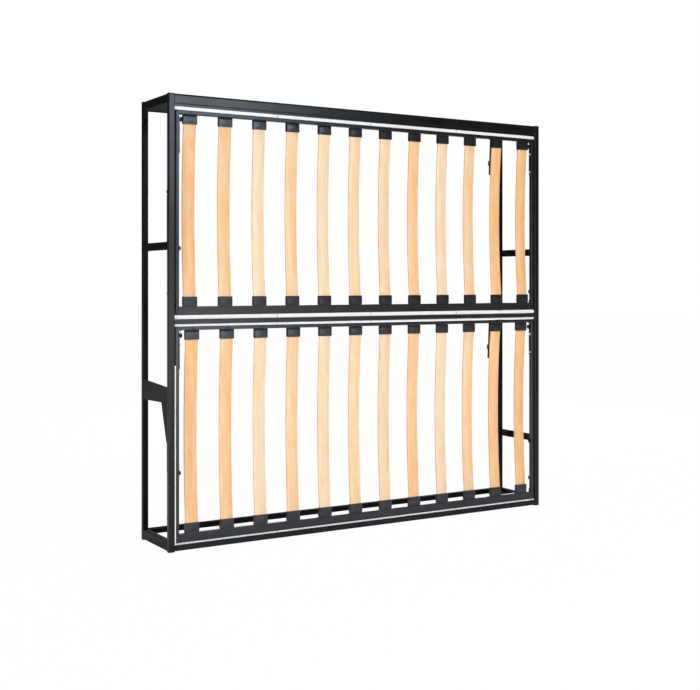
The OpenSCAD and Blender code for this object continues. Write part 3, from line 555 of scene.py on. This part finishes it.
def pale_room():
    """A white background, a backdrop for reflections, and an even soft light from all round."""
    world = bpy.data.worlds.new("pale_room")
    bpy.context.scene.world = world
    world.use_nodes = True
    tree = world.node_tree
    light = tree.nodes["Background"]
    light.inputs["Color"].default_value = ROOM_COLOUR
    light.inputs["Strength"].default_value = ROOM_LIGHT
    path = add(tree, "ShaderNodeLightPath").outputs
    straight = math_of(tree, "MAXIMUM", path["Is Camera Ray"], path["Is Transmission Ray"])
    seen = math_of(tree, "MAXIMUM", straight, path["Is Glossy Ray"])
    strength = math_of(tree, "MAXIMUM", straight, backdrop_share(tree))
    white = add(tree, "ShaderNodeBackground", {"Color": WHITE, "Strength": strength})
    mixed = add(tree, "ShaderNodeMixShader", {0: seen, 1: light.outputs[0], 2: white.outputs[0]})
    feed(tree, tree.nodes["World Output"].inputs["Surface"], mixed.outputs[0])


def floor_finish():
    """White that glows for the camera, and keeps a faint shadow."""
    material = bpy.data.materials.new("pale_floor")
    material.use_nodes = True
    tree = material.node_tree
    skin = tree.nodes["Principled BSDF"]
    skin.inputs["Base Color"].default_value = FLOOR_COLOUR
    skin.inputs["Roughness"].default_value = FLOOR_ROUGHNESS
    skin.inputs["Specular IOR Level"].default_value = 0.0
    glow = add(tree, "ShaderNodeEmission", {"Color": WHITE, "Strength": 1.0})
    seen = add(tree, "ShaderNodeLightPath").outputs["Is Camera Ray"]
    share = math_of(tree, "MULTIPLY", seen, FLOOR_GLOW)
    mixed = add(tree, "ShaderNodeMixShader", {0: share, 1: skin.outputs[0], 2: glow.outputs[0]})
    feed(tree, tree.nodes["Material Output"].inputs["Surface"], mixed.outputs[0])
    return material


def pale_floor():
    """A wide white floor."""
    shape = bmesh.new()
    bmesh.ops.create_grid(shape, x_segments=1, y_segments=1, size=FLOOR_REACH)
    mesh = bpy.data.meshes.new("floor")
    shape.to_mesh(mesh)
    shape.free()
    floor = bpy.data.objects.new("floor", mesh)
    bpy.context.scene.collection.objects.link(floor)
    mesh.materials.append(floor_finish())


def soft_lamp(name, place, aim, size, power, colour=PLAIN_LIGHT, spread=180):
    """A rectangular soft box that looks at a point, with its spread in degrees."""
    data = bpy.data.lights.new(name, "AREA")
    data.shape = "RECTANGLE"
    data.size, data.size_y = size
    data.energy = power
    data.color = colour
    data.spread = math.radians(spread)
    lamp = bpy.data.objects.new(name, data)
    lamp.location = place
    lamp.rotation_euler = (Vector(aim) - Vector(place)).to_track_quat("-Z", "Y").to_euler()
    lamp.visible_camera = False
    bpy.context.scene.collection.objects.link(lamp)


def front_left_camera():
    """A level camera with its picture shifted down, as the photograph was framed."""
    data = bpy.data.cameras.new("camera")
    data.sensor_width = SENSOR_WIDTH
    data.lens = SENSOR_WIDTH * FOCAL_PIXELS / PICTURE_WIDTH
    data.shift_y = -HORIZON_ABOVE_MIDDLE / PICTURE_WIDTH
    camera = bpy.data.objects.new("camera", data)
    camera.location = CAMERA_PLACE
    camera.rotation_euler = (math.pi / 2, 0.0, -CAMERA_TURN)
    bpy.context.scene.collection.objects.link(camera)
    bpy.context.scene.camera = camera


# Small fittings

def new_piece(name, shape, material, body, sharp_past=None):
    """A mesh piece made from a bmesh, dressed, and carried by a body; edges past an angle stay sharp."""
    bmesh.ops.recalc_face_normals(shape, faces=shape.faces)
    mesh = bpy.data.meshes.new(name)
    shape.to_mesh(mesh)
    shape.free()
    mesh.materials.append(material)
    for face in mesh.polygons:
        face.use_smooth = True
    if sharp_past is not None:
        mesh.set_sharp_from_angle(angle=sharp_past)
    piece = bpy.data.objects.new(name, mesh)
    bpy.context.scene.collection.objects.link(piece)
    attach(piece, body)
    return piece


def turned_to(way):
    """The turn that lays a shape's own Z along a direction."""
    return way.to_track_quat("Z", "Y").to_matrix().to_4x4()


def oval(shape, place, size, detail, turn=Matrix.Identity(4)):
    """One oval bead at a place, with its half sizes along its own axes."""
    matrix = Matrix.Translation(place) @ turn @ Matrix.Diagonal((*size, 1.0))
    bmesh.ops.create_icosphere(shape, subdivisions=detail, radius=1.0, matrix=matrix)


def oval_row(shape, start, end, pitch, size, detail):
    """A row of oval beads from one point to another, for stitches and weld ripples."""
    way = end - start
    turn = turned_to(way)
    count = max(2, round(way.length / pitch))
    for step in range(count):
        oval(shape, start + way * ((step + 0.5) / count), size, detail, turn)


def round_bar(shape, radius, length, sides, matrix):
    """A round bar along its own Z, closed at both ends."""
    bmesh.ops.create_cone(shape, cap_ends=True, segments=sides, radius1=radius, radius2=radius,
                          depth=length, matrix=matrix)


def strap_lines(low, high):
    """The strap's middle line in depth and height: down behind a slat to its fold, and its tail back up."""
    half = STRAP_THICK / 2
    near = low.y + half
    tube_under = high.z - STRAP_ON_TUBE
    fold = low.z + STRAP_THICK
    lean = (high.y - 2 * STRAP_THICK - low.y) / (tube_under - low.z)
    steps = [step / STRAP_STEPS for step in range(STRAP_STEPS + 1)]
    down = [(near, high.z), (near, (high.z + tube_under) / 2)]
    for share in steps:
        drop = share * (tube_under - fold)
        down.append((near + lean * drop, tube_under - drop))
    middle = down[-1][0] + half
    for step in range(1, STRAP_FOLD_STEPS):
        turn = math.pi * step / STRAP_FOLD_STEPS
        down.append((middle - math.cos(turn) * half, fold - math.sin(turn) * half))
    rise = high.z - STRAP_TAIL_TOP - fold
    far = middle + half
    tail = [(far - lean * share * rise, fold + share * rise) for share in steps[::STRAP_TAIL_SKIP]]
    return down, tail


def strap_band(bed):
    """A band of webbing along its middle line, with its sewn tail, in place of the plain solid."""
    low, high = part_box(bed + "_strap")
    down, tail = strap_lines(low, high)
    line = down + tail
    rows = len(line) - 1
    shape = bmesh.new()
    bmesh.ops.create_grid(shape, x_segments=STRAP_COLUMNS, y_segments=rows, size=0.5)
    for vert in shape.verts:
        across = vert.co.x
        depth, height = line[round((vert.co.y + 0.5) * rows)]
        vert.co = Vector(((low.x + high.x) / 2 + across * (high.x - low.x), depth, height))
    band = new_piece(bed + "_strap_webbing", shape, WEBBING, bed + "_bed")
    thick = band.modifiers.new("thickness", "SOLIDIFY")
    thick.thickness = WEBBING_THICK
    thick.offset = 0.0
    rounded = band.modifiers.new("rounded edge", "BEVEL")
    rounded.width = WEBBING_ROUNDING
    rounded.segments = ROUNDING_SEGMENTS
    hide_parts(bed + "_strap")
    strap_stitches(bed, low, high, tail)


def strap_stitches(bed, low, high, tail):
    """The crossed box of stitches that holds the strap's tail: a row between every two corners."""
    back = WEBBING_THICK / 2
    fold, top = [Vector((0.0, depth + back, height)) for depth, height in (tail[0], tail[-1])]
    share = STITCH_MARGIN / (top.z - fold.z)
    ends = (top.lerp(fold, share), fold.lerp(top, share))
    sides = (low.x + STITCH_MARGIN, high.x - STITCH_MARGIN)
    corners = [end + Vector((side, 0.0, 0.0)) for end in ends for side in sides]
    shape = bmesh.new()
    for start, end in itertools.combinations(corners, 2):
        oval_row(shape, start, end, STITCH_PITCH, STITCH_SIZE, STITCH_DETAIL)
    new_piece(bed + "_strap_stitches", shape, THREAD, bed + "_bed")


def top_face(shape):
    """The highest face of a shape."""
    return max(shape.faces, key=lambda face: face.calc_center_median().z)


def socket_bolt():
    """One round-headed bolt with a hexagon socket, standing on the origin."""
    shape = bmesh.new()
    head_middle = Matrix.Translation((0, 0, BOLT_HEAD_HEIGHT / 2))
    round_bar(shape, BOLT_HEAD_RADIUS, BOLT_HEAD_HEIGHT, BOLT_HEAD_SIDES, head_middle)
    bmesh.ops.bevel(shape, geom=list(top_face(shape).edges), offset=BOLT_HEAD_ROUNDING,
                    segments=BOLT_HEAD_SEGMENTS, profile=0.5, affect="EDGES", material=-1)
    top = top_face(shape)
    bmesh.ops.inset_individual(shape, faces=[top], thickness=BOLT_HEAD_RIM)
    sixth = math.pi / 3
    for vert in top.verts:
        angle = math.atan2(vert.co.y, vert.co.x)
        reach = BOLT_SOCKET / math.cos((angle + sixth / 2) % sixth - sixth / 2)
        vert.co.x = reach * math.cos(angle)
        vert.co.y = reach * math.sin(angle)
    bmesh.ops.inset_individual(shape, faces=[top], thickness=BOLT_SOCKET_DRAFT, depth=-BOLT_SOCKET_DEPTH)
    shank_middle = Matrix.Translation((0, 0, -BOLT_SHANK_LENGTH / 2))
    round_bar(shape, BOLT_SHANK_RADIUS, BOLT_SHANK_LENGTH, BOLT_SHANK_SIDES, shank_middle)
    return shape


def lock_bolts(bed):
    """The zinc bolts of a bed's lock plates, with their sockets."""
    low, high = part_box(bed + "_lock_bolts")
    bolt = socket_bolt()
    single = bpy.data.meshes.new("single_bolt")
    bolt.to_mesh(single)
    bolt.free()
    shape = bmesh.new()
    for seat, out in ((low.x + BOLT_SHANK_LENGTH, 1.0), (high.x - BOLT_SHANK_LENGTH, -1.0)):
        turn = turned_to(Vector((out, 0.0, 0.0)))
        for height in (low.z + BOLT_HEAD_RADIUS, high.z - BOLT_HEAD_RADIUS):
            fresh = single.copy()
            fresh.transform(Matrix.Translation((seat, (low.y + high.y) / 2, height)) @ turn)
            shape.from_mesh(fresh)
            bpy.data.meshes.remove(fresh)
    bpy.data.meshes.remove(single)
    bolts = new_piece(bed + "_socket_bolts", shape, ZINC, bed + "_bed", BOLT_SHARP_PAST)
    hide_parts(bed + "_lock_bolts")


def knob_ribs(bed, side):
    """Ribs round the knob of a lock plunger, for the fingers."""
    low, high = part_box(bed + "_lock_plunger_" + side)
    along = high.x - RIB_PLACE if side == "left" else low.x + RIB_PLACE
    axis = Vector((along, (low.y + high.y) / 2, (low.z + high.z) / 2))
    shape = bmesh.new()
    for rib in range(KNOB_RIBS):
        angle = 2 * math.pi * rib / KNOB_RIBS
        spot = axis + Vector((0.0, math.cos(angle), math.sin(angle))) * (KNOB_RADIUS - RIB_SINK)
        oval(shape, spot, RIB_SIZE, RIB_DETAIL)
    new_piece(bed + "_knob_ribs_" + side, shape, PLASTIC, bed + "_lock_" + side)


def upright_weld(shape, x, y, bottom, top):
    """A run of overlapping weld ripples up an edge."""
    oval_row(shape, Vector((x, y, bottom)), Vector((x, y, top)), WELD_PITCH, WELD_SIZE, WELD_DETAIL)


def post_welds(shape, name, front_drop=0.0, rear_height=None):
    """Welds up the inner edges of a side rail, bar or plate, where it meets the two posts."""
    low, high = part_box(name)
    inner = high.x if low.x < 0 else low.x
    low_rear = low.z if rear_height is None else high.z - rear_height
    upright_weld(shape, inner, low.y, low.z, high.z - front_drop)
    upright_weld(shape, inner, high.y, low_rear, high.z)


def end_welds(shape, name, face):
    """Welds up both ends of a cross rail, on the face that looks into the stand."""
    low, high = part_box(name)
    depth = high.y if face == "back" else low.y
    for side in (low.x, high.x):
        upright_weld(shape, side, depth, low.z + WELD_END, high.z - WELD_END)


def stand_welds():
    """The welds of the stand, all on its inner side."""
    shape = bmesh.new()
    for name in SIDE_BARS:
        post_welds(shape, name)
    post_welds(shape, "gusset_plate", PLATE_FRONT_DROP, PLATE_REAR_HEIGHT)
    for name in ("mid_rail", "bottom_rail_front"):
        end_welds(shape, name, "back")
    for name in ("top_rail_rear", "bottom_rail_rear"):
        end_welds(shape, name, "front")
    new_piece("stand_welds", shape, COAT, "stand")


def mitre_seams(bed):
    """Ground weld seams across the mitred corners of a bed's frame, front and back."""
    shape = bmesh.new()
    for side in ("left", "right"):
        end_low, end_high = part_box(bed + "_end_tube_" + side)
        outer, inner = (end_low.x, end_high.x) if side == "left" else (end_high.x, end_low.x)
        for tube in ("top", "bottom"):
            low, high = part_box(bed + "_" + tube + "_tube")
            far, near = (high.z, low.z) if tube == "top" else (low.z, high.z)
            for depth in (low.y, high.y):
                end = Vector((inner, depth, near))
                start = Vector((outer, depth, far)).lerp(end, SEAM_START)
                line = end - start
                matrix = Matrix.Translation(start + line / 2) @ turned_to(line)
                round_bar(shape, SEAM_RADIUS, line.length, SEAM_SIDES, matrix)
    new_piece(bed + "_mitre_seams", shape, COAT, bed + "_bed")


def round_edges(name, width):
    """Rounds the sharp edges of a node of the model."""
    node = NODES[name]
    joined = node.modifiers.new("joined", "WELD")
    joined.merge_threshold = JOINED_WITHIN
    rounded = node.modifiers.new("rounded edge", "BEVEL")
    rounded.width = width
    rounded.segments = ROUNDING_SEGMENTS
    rounded.limit_method = "ANGLE"
    rounded.angle_limit = ROUNDED_PAST


def finish_of(name, slot):
    """The finish of one node: by its name where its sheen differs or where it gets a painted-light or
    painted-shade copy of the coat, or else by its slot.
    """
    bed = name.split("_")[0]
    if name == "top_rail_front":
        return TOP_SHADED_COAT
    if name in MID_NODES:
        return MID_LIT_COAT
    if name.endswith("_slat_caps"):
        return CAPS[bed]
    if "_tube" in name:
        return BED_COATS[bed]
    if name in BACK_NODES or name.endswith("_cap_rivets"):
        return BACK_SHADED_COAT
    if slot == "beech":
        return SLATS[bed]
    return SLOT_FINISHES[slot]


def dress_nodes():
    """Gives every node of the model its finish."""
    for part in frame["record"]["subparts"]:
        name = part["node"]
        NODES[name].data.materials.clear()
        NODES[name].data.materials.append(finish_of(name, part["material_slot"]))


# The finishes of this stand, front steel first
COAT = powder_coat(
    "black_powder_coat", gloss=0.42,
    dark=(0.0034, 0.0035, 0.0037, 1), light=(0.0058, 0.0059, 0.0062, 1),
)
# Painted shade: the top rail gets a darker copy of the black coat; its matt upper edge is roughness only
TOP_SHADED_COAT = powder_coat(
    "top_rail_shaded_coat", gloss=0.46,
    dark=(0.0020, 0.0021, 0.0023, 1), light=(0.0034, 0.0035, 0.0038, 1),
    matt_above=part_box("top_rail_front")[1].z - MATT_EDGE,
)
# Painted light: the mid rail and the upper bed's bottom tube get a lighter copy of the black coat, standing
# in for the sheen they show at mid-height
MID_LIT_COAT = powder_coat(
    "mid_painted_light_coat", gloss=0.52,
    dark=(0.0090, 0.0090, 0.0094, 1), light=(0.0130, 0.0130, 0.0135, 1),
)
# Painted shade: the steel behind the front gets a darker copy of the same coat, standing in for the shade
# it lies in
BACK_SHADED_COAT = powder_coat(
    "shaded_back_coat", gloss=0.14,
    dark=(0.0024, 0.0026, 0.0030, 1), light=(0.0040, 0.0043, 0.0048, 1),
    dust=LITTLE_DUST, level_matt=LEVEL_MATT,
)
BED_COATS = {}
CAPS = {}
SLATS = {}
for bed_name, bed_gloss in BED_GLOSS.items():
    BED_COATS[bed_name] = powder_coat(
        bed_name + "_bed_coat", bed_gloss,
        dark=(0.0060, 0.0064, 0.0072, 1), light=(0.0095, 0.0100, 0.0110, 1), tint=COOL_TINT,
    )
    # The caps' band of painted shade starts this far below the top tube
    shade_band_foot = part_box(bed_name + "_top_tube")[0].z - CAP_SHADE_BAND
    CAPS[bed_name] = moulded_plastic(bed_name + "_cap_plastic", bed_gloss * CAP_GLOSS, shade_band_foot)
    SLATS[bed_name] = slat_finish(bed_name)
PLASTIC = moulded_plastic("black_moulded_plastic", gloss=0.45)
STRIP = white_strip()
ZINC = bright_zinc()
WEBBING = strap_webbing()
THREAD = black_thread()
SLOT_FINISHES = {
    "black_steel": COAT,
    "black_plastic": PLASTIC,
    "white_strip": STRIP,
    "zinc": ZINC,
    "webbing": WEBBING,
}

# The scene
bpy.context.scene.view_settings.view_transform = "Standard"
dress_nodes()
for bed_name in BEDS:
    round_edges(bed_name + "_slats", SLAT_ROUNDING)
    strap_band(bed_name)
    lock_bolts(bed_name)
    knob_ribs(bed_name, "left")
    knob_ribs(bed_name, "right")
    mitre_seams(bed_name)
stand_welds()
pale_room()
pale_floor()
for lamp_name, lamp_values in LAMPS.items():
    soft_lamp(lamp_name, **lamp_values)
front_left_camera()
